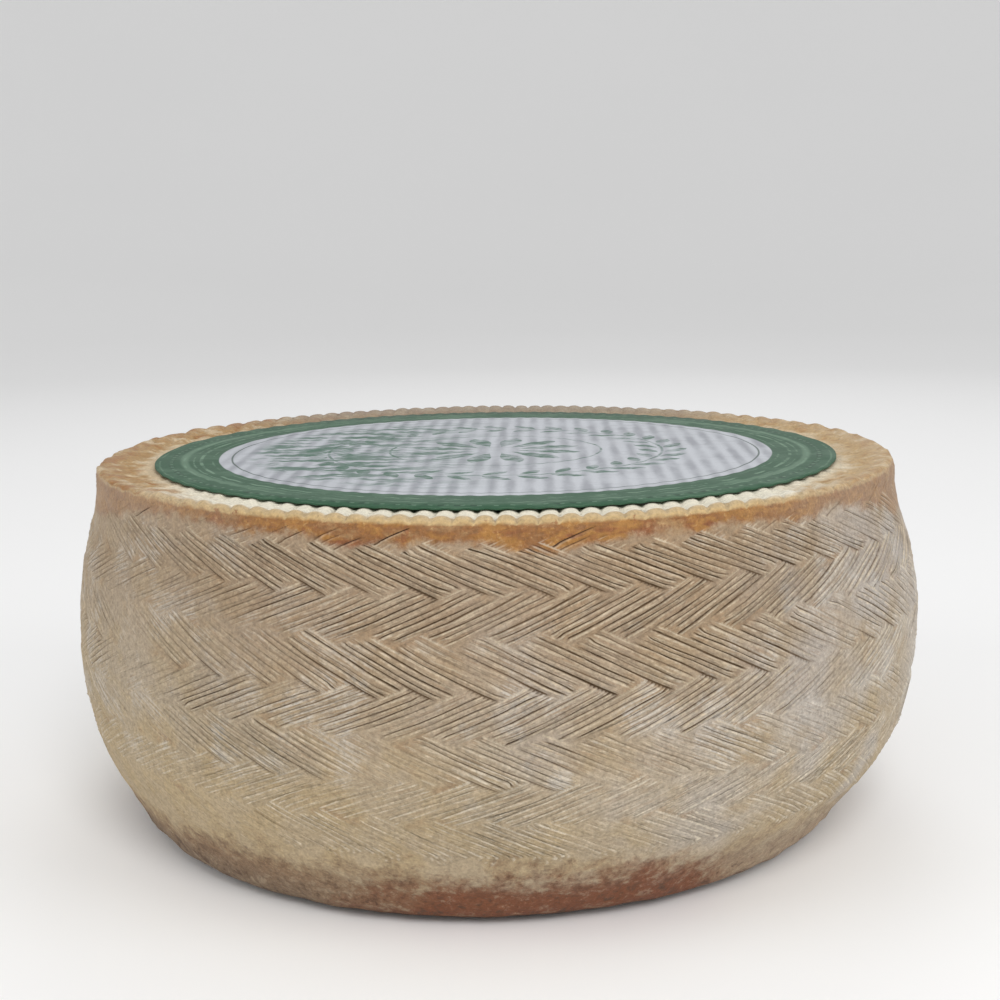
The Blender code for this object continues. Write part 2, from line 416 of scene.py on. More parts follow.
# %% Spin the outline
wheel_form = bmesh.new()
station_mark = wheel_form.verts.layers.int.new("station")
chain = []
for number, station in enumerate(stations):
    point = wheel_form.verts.new((station["radius"] * MM, 0.0, station["height"] * MM))
    point[station_mark] = number
    chain.append(point)
chain_edges = [wheel_form.edges.new(pair) for pair in zip(chain, chain[1:])]
bmesh.ops.spin(
    wheel_form,
    geom=chain + chain_edges,
    cent=(0.0, 0.0, 0.0),
    axis=(0.0, 0.0, 1.0),
    angle=TURN,
    steps=COLUMNS,
    use_merge=True,
)
poles = [point for point in wheel_form.verts if point[station_mark] in (0, len(stations) - 1)]
bmesh.ops.remove_doubles(wheel_form, verts=poles, dist=0.00001)
bmesh.ops.recalc_face_normals(wheel_form, faces=wheel_form.faces)
print("spun", len(wheel_form.faces), "faces")

# %% [markdown]
# ## Cut each small square along its stroke
#
# Near the zigzags a square can be folded along either diagonal. A groove stays crisp only if
# the fold runs with the stroke, so each square there is split along the lean of its own row.

# %% Split the squares near the zigzags
def column_of(point):
    """Number of the column that a spun point stands in."""
    return round(math.atan2(point.co.y, point.co.x) / TURN * COLUMNS) % COLUMNS


def split_with_stroke(face):
    """Splits one square along the strokes of its row. Squares away from the zigzags stay."""
    marks = [point[station_mark] for point in face.verts]
    low = min(marks)
    lower, upper = stations[low], stations[low + 1]
    if len(marks) != 4 or upper["units"] is None or lower["units"] is None:
        return False
    if upper["lean"] != lower["lean"]:
        return False
    columns = [column_of(point) for point in face.verts]
    left = min(columns) if max(columns) - min(columns) < 2 else max(columns)
    row = row_at((lower["units"] + upper["units"]) / 2, left + 0.5 + lower["lean"])
    lean = lean_of(row)
    first = last = None
    for point, mark, column in zip(face.verts, marks, columns):
        is_left = column == left
        if (mark == low) == (is_left == (lean > 0)):
            first, last = (point, last) if first is None else (first, point)
    bmesh.utils.face_split(face, first, last)
    return True


split_count = sum(split_with_stroke(face) for face in list(wheel_form.faces))
print("split", split_count, "squares")

# %% [markdown]
# ## Unevenness and wear
#
# A wheel that was shaped by hand is a little out of round and lumpy, and its strokes are
# worn where it was handled most. Smooth noise gives the lumps: it has a fixed value at each
# place, so the wheel comes out the same each time.

# %% Describe unevenness and wear
def unevenness(angle, height):
    """Slow swells of a wheel that was shaped by hand, the same as in the solid."""
    oval = 0.35 * math.cos(2 * angle + 0.04 * height)
    return oval + 0.20 * math.cos(4 * angle - 0.09 * height + 1.0)


def lumps(place, size, seed):
    """Smooth noise from -1 to 1 with lumps of the given size."""
    return noise.noise(place / size + Vector((seed, 2.3 * seed, -seed)))


def wear_of(place):
    """How much the strokes are worn: most at the left and low down, some at the right."""
    left = smooth(-place.x, 38.0, 98.0) * (0.42 + 0.53 * smooth(66.0 - place.z, 0.0, 30.0))
    low_left = 0.55 * smooth(-place.x, 0.0, 60.0) * smooth(48.0 - place.z, 0.0, 24.0)
    under_lip = 0.75 * smooth(abs(place.x), 76.0, 94.0) * smooth(place.z, 73.0, 80.0)
    return left + low_left + under_lip + 0.40 * smooth(place.x, 78.0, 103.0)


swell_sizes = [unevenness(TURN * step / 72, 45.0) for step in range(72)]
print("out of round by", round(max(swell_sizes) - min(swell_sizes), 2), "mm")

# %% [markdown]
# ## Notes on the points
#
# A material can't tell by itself where a groove runs. So what each point is, such as the
# bottom of a groove or the crest of a rib, is kept on the point as a number, and a material
# can read it there.

# %% Keep notes on the points
groove_mark = wheel_form.verts.layers.float.new("groove")
edge_mark = wheel_form.verts.layers.float.new("stroke_lip")
patch_mark = wheel_form.verts.layers.float.new("bundle_end")
crest_mark = wheel_form.verts.layers.float.new("rib_crest")
top_mark = wheel_form.verts.layers.float.new("top_face")
woven_mark = wheel_form.verts.layers.float.new("woven")
strand_mark = wheel_form.verts.layers.float_vector.new("strand")


def mark_strand(point, row, units, column, place):
    """Notes on a point where it lies on its strand, for the materials."""
    across, part, along = stroke_place(row, units, column)
    inside = min(along, 1.0 - along)
    from_edge = edge_distance(row, units, column)
    worn_top = smooth(abs(place.x), 80.0, 94.0) * smooth(place.z, 75.0, 80.0)
    point[strand_mark] = (across * 0.74, along * 23.0, 7.0 * row)
    point[patch_mark] = 1.0 - smooth(inside, 0.02, 0.13)
    point[woven_mark] = smooth(from_edge, 0.0, 3.0) * (row < LAST_LINE) * (1.0 - 0.7 * worn_top)


print("notes on each point:", *wheel_form.verts.layers.float.keys(), "strand")

# %% [markdown]
# ## Move each point to its real place
#
# The spun form is a smooth barrel. Each point now moves to where the curd really is: columns
# lean with their strokes, grooves sink, the foot is lumpy and rough, and its middle stands a
# little to one side.

# %% Move the points
DEPTH_DRIFT = 1.1
ROW_WAVE = 0.30
ROW_DRIFT = 0.5
ROUGH_FROM = 70.0
FOOT_TOP = 20.5
FOOT_SHIFT = 2.6
RIM_PROUD = 0.10
VALLEY_SHARE = 1.45


def move_point(point):
    """Moves a spun point to where the curd is."""
    station = stations[point[station_mark]]
    column = column_of(point) + station["lean"]
    units, height, radius = station["units"], station["height"], station["radius"]
    angle = TURN * column / COLUMNS
    place = Vector((radius * math.cos(angle), radius * math.sin(angle), height))
    proud = 0.0
    if units is not None:
        row = row_at(units, column)
        drift = DEPTH_DRIFT * lumps(place, 26.0, 1.0) - wear_of(place)
        proud, point[groove_mark], point[edge_mark] = relief(row, units, column, drift)
        if row >= 0:
            angle += TURN * sway(row, units, column) / COLUMNS
            mark_strand(point, row, units, column, place)
        height += ROW_WAVE * math.sin(3 * angle + 0.7 * units / ROW_UNITS)
        height += ROW_DRIFT * lumps(place, 30.0, 2.0)
    if radius > ROUGH_FROM and height > 0.2:
        proud += 0.12 * lumps(place, 4.5, 3.0) + 0.24 * lumps(place, 17.0, 4.0)
    foot = smooth(FOOT_TOP - height, 0.0, 5.0) if height > 0.2 else 0.0
    if foot > 0.0:
        proud += foot * (0.50 * lumps(place, 7.0, 5.0) + 0.32 * lumps(place, 3.4, 6.0))
    rim = smooth(height, 83.6, 86.4) * smooth(radius, 97.9, 98.6)
    at_side = smooth(abs(place.x), 55.0, 88.0)
    rim_lumps = 0.30 * lumps(place, 9.0, 8.0) + (0.16 + 0.30 * at_side) * lumps(place, 3.6, 8.5)
    proud += rim * (RIM_PROUD + rim_lumps)
    full = radius + proud + (unevenness(angle, height) if radius > 1.0 else 0.0)
    shift = -FOOT_SHIFT * (1.0 - smooth(height, 0.0, 30.0))
    x, y = full * math.cos(angle) + shift * (radius > 1.0), full * math.sin(angle)
    point[top_mark] = 1.0 if station is stations[-1] else station["ribs"]
    if station["ribs"] > 0.0:
        wave = rib_wave(x, y)
        wear = 1.0 + 0.30 * lumps(place, 7.0, 9.0)
        depth = wave if wave > 0.0 else VALLEY_SHARE * wave
        height += RIB_HEIGHT * station["ribs"] * wear * depth
        height += (0.15 + 0.30 * at_side) * lumps(place, 4.5, 10.0)
        point[crest_mark] = wave + 0.5
    point.co = Vector((x, y, height)) * MM


for point in wheel_form.verts:
    move_point(point)
bmesh.ops.recalc_face_normals(wheel_form, faces=wheel_form.faces)
for face in wheel_form.faces:
    face.smooth = True
print("groove points:", sum(point[groove_mark] > 0.1 for point in wheel_form.verts))

# %% [markdown]
# ## From form to piece
#
# A finished form becomes an object of its own. It stands in for the plain solid of the same
# part, so the solid is hidden, and it rides on the same body.

# %% Make the wheel an object
def make_piece(name, form, node):
    """Turns a finished form into a piece that stands in for a plain solid."""
    mesh = bpy.data.meshes.new(name)
    form.to_mesh(mesh)
    form.free()
    piece = bpy.data.objects.new(name, mesh)
    bpy.context.scene.collection.objects.link(piece)
    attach(piece, "root")
    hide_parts(node)
    print(name, "has", len(mesh.polygons), "faces")
    return piece


dressed_wheel = make_piece("dressed_wheel", wheel_form, "wheel")

# %% [markdown]
# ## The paper label
#
# The label is stiff coated paper. It bridges the ribs and sags a little between them, which
# shows as soft stripes. A grid suits it: its lines run with the ribs. The square grid is
# drawn in to a circle, with closer lines toward the left and right ends. The sheet is then
# extruded upward by its thickness.

# %% Make the label
LABEL_LINES = 300
LABEL_STEPS = 24
label_form = bmesh.new()
bmesh.ops.create_grid(label_form, x_segments=LABEL_LINES, y_segments=LABEL_STEPS, size=1.0)


def lay_paper(point):
    """Moves a point of the square grid into the round sheet, sagging between the ribs."""
    turn = point.co.x * math.pi / 2
    across = LABEL_RADIUS * math.sin(turn)
    along = LABEL_RADIUS * math.cos(turn) * point.co.y
    x = across * math.cos(RIB_YAW) - along * math.sin(RIB_YAW)
    y = across * math.sin(RIB_YAW) + along * math.cos(RIB_YAW)
    place = ((across - RIB_OFFSET) / RIB_PITCH) % 1.0
    sag = 0.055 * (1.0 - math.cos(TURN * place))
    far_out = smooth(math.hypot(x, y), 76.0, LABEL_RADIUS)
    slow = 0.10 * noise.noise(Vector((x, y, 0.0)) / 24.0) * (1.0 - 0.5 * far_out)
    height = LABEL_TOP - 0.32 - sag * (1.0 + 0.8 * far_out) + slow
    point.co = Vector((x, y, height)) * MM


for point in label_form.verts:
    lay_paper(point)
bmesh.ops.remove_doubles(label_form, verts=label_form.verts, dist=0.0000005)
bmesh.ops.recalc_face_normals(label_form, faces=label_form.faces)
if sum(face.normal.z for face in label_form.faces) < 0:
    bmesh.ops.reverse_faces(label_form, faces=label_form.faces)
raised = bmesh.ops.extrude_face_region(label_form, geom=label_form.faces[:], use_keep_orig=True)
raised_points = [part for part in raised["geom"] if isinstance(part, bmesh.types.BMVert)]
bmesh.ops.translate(label_form, verts=raised_points, vec=(0.0, 0.0, 0.2 * MM))
bmesh.ops.recalc_face_normals(label_form, faces=label_form.faces)
for face in label_form.faces:
    face.smooth = abs(face.normal.z) > 0.5
label_top = max(point.co.z for point in label_form.verts)
print("label top at", round(label_top / MM, 2), "mm")
dressed_label = make_piece("dressed_label", label_form, "label")

# %% [markdown]
# ## Shader sums
#
# A material is a net of nodes. It is far easier to read as sums, so one small class wraps a
# socket: `mask * 0.5 + noise` then adds the Math nodes by itself.

# %% A class for shader sums
class Wire:
    """One output of a node. Sums on it add Math nodes to the same material."""

    def __init__(self, tree, socket=None):
        self.tree = tree
        self.socket = socket

    def node(self, kind, settings=None, values=None, output=0):
        """Any other node: its settings, the values or wires of its inputs, and one output."""
        made = self.tree.nodes.new(kind)
        for name, setting in (settings or {}).items():
            setattr(made, name, setting)
        for place, value in (values or {}).items():
            if isinstance(value, Wire):
                self.tree.links.new(value.socket, made.inputs[place])
            else:
                made.inputs[place].default_value = value
        return Wire(self.tree, made.outputs[output])

    def math(self, operation, *others):
        """A Math node on this wire."""
        values = dict(enumerate((self,) + others))
        return self.node("ShaderNodeMath", {"operation": operation}, values)

    def __add__(self, other):
        return self.math("ADD", other)

    __radd__ = __add__

    def __mul__(self, other):
        return self.math("MULTIPLY", other)

    __rmul__ = __mul__

    def __sub__(self, other):
        return self.math("SUBTRACT", other)

    def __rsub__(self, other):
        return self.node("ShaderNodeMath", {"operation": "SUBTRACT"}, {0: other, 1: self})

    def __truediv__(self, other):
        return self.math("DIVIDE", other)

    def between(self, start, end):
        """0 at the start, 1 at the end, with soft ends."""
        settings = {"interpolation_type": "SMOOTHSTEP"}
        values = {0: self, 1: start, 2: end, 3: 0.0, 4: 1.0}
        return self.node("ShaderNodeMapRange", settings, values)

    def mix(self, low, high):
        """A colour that goes from low to high as this value goes from 0 to 1."""
        settings = {"data_type": "RGBA", "clamp_factor": True}
        return self.node("ShaderNodeMix", settings, {0: self, 6: low, 7: high}, 2)

    def grain(self, size, detail=2.0, roughness=0.5, seed=0.0):
        """Noise whose lumps are about the given size in the coordinates of this wire."""
        shift = (seed, seed, seed)
        moved = self.node("ShaderNodeVectorMath", {"operation": "ADD"}, {0: self, 1: shift})
        values = {"Vector": moved, "Scale": 1.0 / size, "Detail": detail, "Roughness": roughness}
        return self.node("ShaderNodeTexNoise", None, values)

    def stretched(self, x, y, z):
        """These coordinates with each axis scaled by its own number."""
        return self.node("ShaderNodeVectorMath", {"operation": "MULTIPLY"}, {0: self, 1: (x, y, z)})


print("shader sums ready")

# %% [markdown]
# ## Starting a material
#
# Each finish starts from Blender's Principled shader, which has sockets for its colour, its
# roughness and its relief. Three small helpers make a material, join a sum to a socket, and
# turn a height into fine relief.

# %% Make helpers for materials
def start_material(name):
    """A new material, a wire to build on, and its shader."""
    material = bpy.data.materials.new(name)
    material.use_nodes = True
    tree = material.node_tree
    shader = tree.nodes["Principled BSDF"]
    return material, Wire(tree), shader


def connect(wire, socket):
    """Feeds a wire into a socket of the shader."""
    wire.tree.links.new(wire.socket, socket)


def bump(wire, height, strength, distance):
    """Fine relief that only the light sees."""
    values = {"Strength": strength, "Distance": distance, "Height": height}
    return wire.node("ShaderNodeBump", None, values)


print("helpers for materials ready")

# %% [markdown]
# ## The rind
#
# The rind is dry and beige, with a fine grain. Dirt and old mould darken the grooves, together
# with painted shade, and their edges are rubbed pale and carry a painted highlight. The lip of
# the wheel is waxy and amber, the foot is damp, red-brown and rough, and the lower rows are
# yellower. Each of these is a mask from 0 to 1, and the masks mix a few plain colours. This
# step reads what the masks are made from: places in millimetres, the numbers kept on the
# points, and noise of several sizes.

# %% Read the masks of the rind
rind, net, rind_shader = start_material("rind_plaited")
here = net.node("ShaderNodeTexCoord", output=3)
split = here.node("ShaderNodeSeparateXYZ", None, {0: here})
x_mm = split * 1000.0
y_mm = Wire(net.tree, split.socket.node.outputs[1]) * 1000.0
height_mm = Wire(net.tree, split.socket.node.outputs[2]) * 1000.0
radius_mm = (x_mm * x_mm + y_mm * y_mm).math("SQRT")
aside_mm = x_mm.math("ABSOLUTE")


def mark(name, output=2):
    """Reads a number that was kept on the points, or with output 1 three of them."""
    return net.node("ShaderNodeAttribute", {"attribute_name": name}, None, output)


groove = mark("groove")
stroke_lip = mark("stroke_lip")
bundle_end = mark("bundle_end")
woven = mark("woven")
rib_crest = mark("rib_crest")
top_face = mark("top_face")
strand = mark("strand", 1)
broad = here.grain(0.034, 3.0, 0.55, 1.0)
blotch = here.grain(0.011, 3.0, 0.6, 2.0)
crumb = here.grain(0.0012, 4.0, 0.75, 3.0)
speck = here.grain(0.0007, 2.0, 0.6, 4.0)
streak = strand.stretched(1.0, 0.11, 1.0).grain(0.62, 2.0, 0.6, 5.0)
broken = strand.stretched(0.3, 0.5, 1.0).grain(1.3, 2.0, 0.6, 6.0)
print("masks ready")

# %% [markdown]
# ## The plaited side
#
# Dry curd is grey-beige, yellower low down and browner near the top, and toward the right edge
# it is painted paler and greyer as reflected light. The thin lines of the weave cross it. Each
# stroke then gets a pale edge, rubbed and with a painted highlight, and a bottom darkened by
# dirt and painted shade, which make the zigzag stand out more than its depth of half a
# millimetre would.

# %% Paint the plaited side
GREY_BEIGE = (0.435, 0.355, 0.258, 1.0)
YELLOW_BEIGE = (0.450, 0.345, 0.203, 1.0)
PALE_GREY = (0.475, 0.438, 0.402, 1.0)
TOP_TAN = (0.305, 0.210, 0.132, 1.0)
FRONT_BROWN = (0.262, 0.163, 0.084, 1.0)
TAN_PATCH = (0.320, 0.205, 0.115, 1.0)
LIP_TAN = (0.560, 0.460, 0.325, 1.0)
LIP_CREAM = (0.680, 0.600, 0.470, 1.0)
GROOVE_BROWN = (0.118, 0.066, 0.028, 1.0)
BLOOM = (0.610, 0.570, 0.515, 1.0)

low_rows = (56.0 - height_mm).between(0.0, 30.0)
yellow_share = low_rows * (0.35 + (x_mm * -1.0).between(-20.0, 70.0) * 0.35)
yellow_share = yellow_share + blotch.between(0.40, 0.62) * 0.5
colour = yellow_share.mix(GREY_BEIGE, YELLOW_BEIGE)
# Grey patches of the curd; toward the right, and most at the right edge, this paler grey is also
# painted reflected light.
greyness_and_edge_light = broad.between(0.50, 0.68) * x_mm.between(-60.0, 90.0) * 0.8
greyness_and_edge_light = greyness_and_edge_light + x_mm.between(84.0, 104.0) * 0.8
colour = greyness_and_edge_light.mix(colour, PALE_GREY)
top_rows = (height_mm - 44.0).between(0.0, 40.0) * (1.0 - broad.between(0.50, 0.72) * 0.6)
colour = (top_rows * 0.55).mix(colour, TOP_TAN)
front = (85.0 - aside_mm).between(0.0, 60.0) * (y_mm * -1.0).between(20.0, 90.0)
colour = (front * (height_mm - 24.0).between(0.0, 48.0) * 0.48).mix(colour, FRONT_BROWN)
colour = (bundle_end * blotch.between(0.50, 0.66) * 0.55).mix(colour, TAN_PATCH)
lined = woven * (0.22 + front * height_mm.between(24.0, 50.0) * 0.34)
colour = (streak.between(0.53, 0.70) * lined).mix(colour, low_rows.mix(LIP_TAN, LIP_CREAM))
colour = (streak.between(0.47, 0.30) * lined).mix(colour, TAN_PATCH)
bloom = here.grain(0.013, 4.0, 0.62, 11.0).between(0.49, 0.62)
bloom = bloom * (height_mm - 26.0).between(0.0, 14.0)
bloom = bloom * (1.0 - front * height_mm.between(52.0, 74.0) * 0.75)
on_strokes = stroke_lip.between(0.05, 0.6) + streak.between(0.44, 0.60) * 0.65
colour = (bloom * on_strokes * 0.56).mix(colour, BLOOM)
# Pale stroke edges: rubbed curd, and a painted highlight where the raised lip faces the light.
lip_wear_and_highlight = (stroke_lip + (crumb - 0.5) * 0.8).between(0.10, 1.0) * broken.between(0.28, 0.60) * 0.9
lip_tone = (low_rows + x_mm.between(30.0, 95.0) * 0.5 + (blotch - 0.5) * 2.0).between(0.0, 1.0)
colour = lip_wear_and_highlight.mix(colour, lip_tone.mix(LIP_TAN, LIP_CREAM))
# Groove bottoms are darkened by dirt and painted shade.
groove_dirt_and_shade = (groove + (crumb - 0.5) * 0.30).between(0.05, 0.42) * broken.between(0.20, 0.48)
colour = (groove_dirt_and_shade * 0.92).mix(colour, GROOVE_BROWN)
print("side painted")

# %% [markdown]
# ## The waxy lip
#
# Above the last row the curd was squeezed up past the band. It is smooth, damp and amber
# there, with patches of rust and a few scars, darkened in their depth by dirt and painted
# shade, and it turns tan away from the front. Its lower border is a height, made ragged by noise.

# %% Paint the amber lip
AMBER = (0.225, 0.084, 0.018, 1.0)
AMBER_LIGHT = (0.340, 0.155, 0.031, 1.0)
WAX_CREAM = (0.565, 0.412, 0.200, 1.0)
SIDE_TAN = (0.350, 0.240, 0.152, 1.0)
RUST = (0.225, 0.072, 0.018, 1.0)
SCAR_SHADE = (0.060, 0.030, 0.018, 1.0)
LIP_LINE = 84.5

far_out = (x_mm - 4.0).math("ABSOLUTE").between(22.0, 66.0)
far_side = aside_mm.between(74.0, 94.0)
lip_edge = LIP_LINE + far_out * (2.0 - x_mm.between(20.0, 75.0) * 1.3) - far_side * 6.0
lip_edge = lip_edge + (blotch - 0.5) * 10.0 + (crumb - 0.5) * 3.0
amber_zone = (height_mm - lip_edge).between(-1.2, 1.2) * radius_mm.between(91.0, 96.0)
to_side = aside_mm.between(42.0, 80.0) + y_mm.between(-40.0, 30.0)
amber_tone = here.stretched(1.0, 1.0, 2.2).grain(0.009, 4.0, 0.62, 7.0)
amber_colour = amber_tone.between(0.43, 0.57).mix(AMBER_LIGHT, AMBER)
rusty = here.stretched(1.0, 1.0, 2.5).grain(0.012, 3.0, 0.6, 8.0).between(0.55, 0.64)
amber_colour = (rusty * (88.0 - height_mm).between(0.0, 1.5)).mix(amber_colour, RUST)
near_top = (top_face + (amber_tone - 0.5) * 1.4).between(0.0, 0.55)
amber_colour = (near_top * 0.85).mix(amber_colour, WAX_CREAM)
amber_colour = (crumb.between(0.56, 0.70) * 0.25).mix(amber_colour, WAX_CREAM)
flecks = here.grain(0.0030, 3.0, 0.6, 13.0).between(0.61, 0.67)
amber_colour = (flecks * 0.7).mix(amber_colour, RUST)
amber_colour = (to_side * 0.58).mix(amber_colour, SIDE_TAN)
colour = (amber_zone * 0.94).mix(colour, amber_colour)
# Scars are darkened in their depth by dirt and painted shade.
colour = (amber_zone * groove.between(0.08, 0.34)).mix(colour, SCAR_SHADE)
# Pale stroke edges in the lip: rubbed curd and a painted highlight.
colour = (amber_zone * stroke_lip.between(0.1, 0.9) * 0.5).mix(colour, LIP_CREAM)
print("lip painted")

# %% [markdown]
# ## The ribbed top
#
# At the front the ribs are cream, with a waxy outer edge, and the valleys between them are
# darkened as painted shade. Toward the sides the ring is tan and mottled, and at the back it
# is grey-brown. Noise is added to the distances, so that one colour runs into the next along
# a ragged border.

# %% Paint the ribbed top
CREAM = (0.740, 0.690, 0.560, 1.0)
RING_TAN = (0.373, 0.230, 0.094, 1.0)
RING_RIGHT = (0.448, 0.308, 0.154, 1.0)
RING_ORANGE = (0.300, 0.135, 0.042, 1.0)
RING_CREAM = (0.570, 0.455, 0.300, 1.0)
RING_BACK = (0.255, 0.212, 0.165, 1.0)
VALLEY_SHADE_BROWN = (0.230, 0.155, 0.085, 1.0)
WAX_RIM = (0.455, 0.308, 0.132, 1.0)

on_top = (top_face + (blotch - 0.5) * 0.5 + (crumb - 0.5) * 0.3).between(0.60, 0.86)
mottle = here.grain(0.0065, 4.0, 0.65, 12.0)
uneven = (broad - 0.5) * 60.0 + (mottle - 0.5) * 40.0
side_share = (aside_mm + uneven).between(56.0, 86.0)
right_half = x_mm.between(-40.0, 40.0)
ring = right_half.mix(RING_TAN, RING_RIGHT)
outer = radius_mm.between(93.0, 98.0)
orange = (mottle + outer * 0.06).between(0.52, 0.62) * (0.75 - right_half * 0.40)
ring = orange.mix(ring, RING_ORANGE)
ring = (mottle.between(0.47, 0.37) * 0.7).mix(ring, RING_CREAM)
near_label = (89.5 - radius_mm + (blotch - 0.5) * 12.0).between(-1.5, 2.5)
side_share = side_share.math("MAXIMUM", (y_mm + uneven).between(-10.0, 45.0))
cream_share = (1.0 - side_share) + side_share * near_label * 0.85
wax_rim = (radius_mm + (blotch - 0.5) * 8.0 + (rib_crest - 0.5) * -1.6).between(94.6, 97.4)
# Painted shade: the valleys between the ribs are darkened, most at the front, as under the label's
# edge.
valley_shade = (0.55 - rib_crest).between(0.0, 0.5) * (97.3 - radius_mm).between(0.0, 1.6)
top_colour = cream_share.mix(ring, side_share.mix(CREAM, RING_CREAM))
top_colour = (wax_rim * (1.0 - side_share) * 0.85).mix(top_colour, WAX_RIM)
top_colour = (valley_shade * (0.75 - side_share * 0.4)).mix(top_colour, VALLEY_SHADE_BROWN)
far_back = (y_mm + uneven).between(30.0, 90.0) * (1.0 - (aside_mm + uneven).between(50.0, 90.0))
top_colour = (far_back * 0.75).mix(top_colour, RING_BACK)
colour = on_top.mix(colour, top_colour)
print("top painted")

# %% [markdown]
# ## The foot
#
# The foot stood in its own whey. It is red-brown in the middle, grey-brown at the left and
# paler at the right, with dark specks where the crumb is open, and darkest at the very
# bottom. The last step multiplies all the colours by a fine grain, and darkens the flanks of
# the side a little as painted shade.

# %% Paint the foot
FOOT_TAN = (0.268, 0.166, 0.094, 1.0)
FOOT_PALE = (0.360, 0.265, 0.180, 1.0)
FOOT_RED = (0.196, 0.061, 0.023, 1.0)
FOOT_DARK = (0.085, 0.042, 0.024, 1.0)
FOOT_GREY = (0.188, 0.130, 0.086, 1.0)
FOOT_LINE = 14.5

pocks = here.grain(0.0032, 5.0, 0.72, 9.0)
foot_line = FOOT_LINE + (blotch - 0.5) * 18.0 + (pocks - 0.5) * 18.0
foot_zone = (foot_line - height_mm).between(-4.0, 6.5)
middle = 1.0 - (x_mm - 12.0).math("ABSOLUTE").between(16.0, 52.0)
to_left = (x_mm * -1.0).between(0.0, 62.0)
redness = broad * 0.7 + 0.09 + (pocks - 0.5) * 0.4 + (9.0 - height_mm) * 0.010
redness = redness + middle * 0.24 - to_left * 0.16 - x_mm.between(30.0, 68.0) * 0.22
to_right = x_mm.between(26.0, 66.0)
foot_tan = to_right.mix(FOOT_TAN, FOOT_PALE)
foot_tan = (to_left * (13.0 - height_mm).between(0.0, 8.0) * 0.80).mix(foot_tan, FOOT_GREY)
foot_colour = redness.between(0.38, 0.62).mix(foot_tan, FOOT_RED)
low_down = (13.0 - height_mm).between(0.0, 9.0)
specks = pocks.between(0.53, 0.62) * (0.36 + low_down * 0.46) * (1.0 - to_right * 0.35)
foot_colour = specks.mix(foot_colour, FOOT_DARK)
# Darker toward the very bottom edge.
bottom_darkening = (3.4 - height_mm + (pocks - 0.5) * 9.0).between(0.0, 3.0)
foot_colour = (bottom_darkening * 0.75).mix(foot_colour, FOOT_DARK)
foot_colour = (pocks.between(0.47, 0.36) * 0.26).mix(foot_colour, LIP_TAN)
foot_colour = (crumb.between(0.56, 0.70) * 0.14).mix(foot_colour, LIP_TAN)
colour = (foot_zone * 0.95).mix(colour, foot_colour)
# Painted shade: the side between the front and the edges is darkened by a few per cent.
flank_shade = aside_mm.between(30.0, 62.0) * (1.0 - aside_mm.between(86.0, 102.0))
flank_shade = flank_shade * height_mm.between(28.0, 42.0)
shade = 0.22 + crumb * 0.86 + speck * 0.70 - flank_shade * (1.0 - top_face) * 0.075
colour = net.node("ShaderNodeVectorMath", {"operation": "SCALE"}, {0: colour, 3: shade})
connect(colour, rind_shader.inputs["Base Color"])
print("foot painted")

# %% [markdown]
# ## Grain and sheen
#
# The smallest crumbs are too fine for the mesh, so a bump draws them, which only the light
# sees. The waxy lip shines more than the dry side.

# %% Give the rind its grain and sheen
grain_height = crumb * 1.3 + speck * 0.8 + streak * woven * 1.3 - pocks * foot_zone * 3.0
connect(bump(net, grain_height, 0.9, 0.0003), rind_shader.inputs["Normal"])
connect(0.66 + crumb * 0.14 - amber_zone * 0.24, rind_shader.inputs["Roughness"])
rind_shader.inputs["Specular IOR Level"].default_value = 0.35
dressed_wheel.data.materials.append(rind)
print("rind material has", len(net.tree.nodes), "nodes")

# %% [markdown]
# ## The printed label
#
# The print is a green ring with paler arcs round a lilac-white middle. All of it is worked
# out from the distance to the middle and the angle round it. Bands, dashes and leaves are
# the only shapes it needs.

# %% Measure out the label
paper, ink, paper_shader = start_material("paper_printed")
spot = ink.node("ShaderNodeTexCoord", output=3)
parts = spot.node("ShaderNodeSeparateXYZ", None, {0: spot})
paper_x = parts * 1000.0
paper_y = Wire(ink.tree, parts.socket.node.outputs[1]) * 1000.0
out_mm = (paper_x * paper_x + paper_y * paper_y).math("SQRT")
turn_part = paper_y.math("ARCTAN2", paper_x) / TURN + 0.5


def band(value, middle, half_width, soft=0.15):
    """1 inside a narrow band round a value."""
    return 1.0 - (value - middle).math("ABSOLUTE").between(half_width - soft, half_width + soft)


def dashes(count, share, shift=0.0):
    """1 on a share of each of the dashes that go round."""
    place = (turn_part * float(count) + shift).math("FRACT")
    return 1.0 - place.between(share - 0.01, share + 0.01)


def leaves(ring, count, length, width, slant):
    """A ring of leaves: each cell of the turn holds one pointed oval."""
    cell = (turn_part * float(count)).math("FRACT") - 0.5
    sideways = cell * (TURN * ring / count)
    outward = out_mm - ring
    along = sideways * math.cos(slant) + outward * math.sin(slant)
    across = outward * math.cos(slant) - sideways * math.sin(slant)
    long_part = along / (length / 2)
    body = 1.0 - long_part * long_part
    return (body * (width / 2) - across.math("ABSOLUTE")).between(-0.10, 0.15)


print("shapes for the print ready")

# %% [markdown]
# ## The middle of the label
#
# The paper sags between the ribs, which shows as soft grey stripes. Over them lie a plain
# pattern of leaves, and green strokes that are half rubbed off.

# %% Print the middle
PAPER_PALE = (0.478, 0.496, 0.530, 1.0)
PAPER_GREY = (0.270, 0.280, 0.310, 1.0)
DRAWN_GREEN = (0.045, 0.120, 0.078, 1.0)
GREEN_DARK = (0.016, 0.048, 0.028, 1.0)
THIN_CIRCLE = 66.6

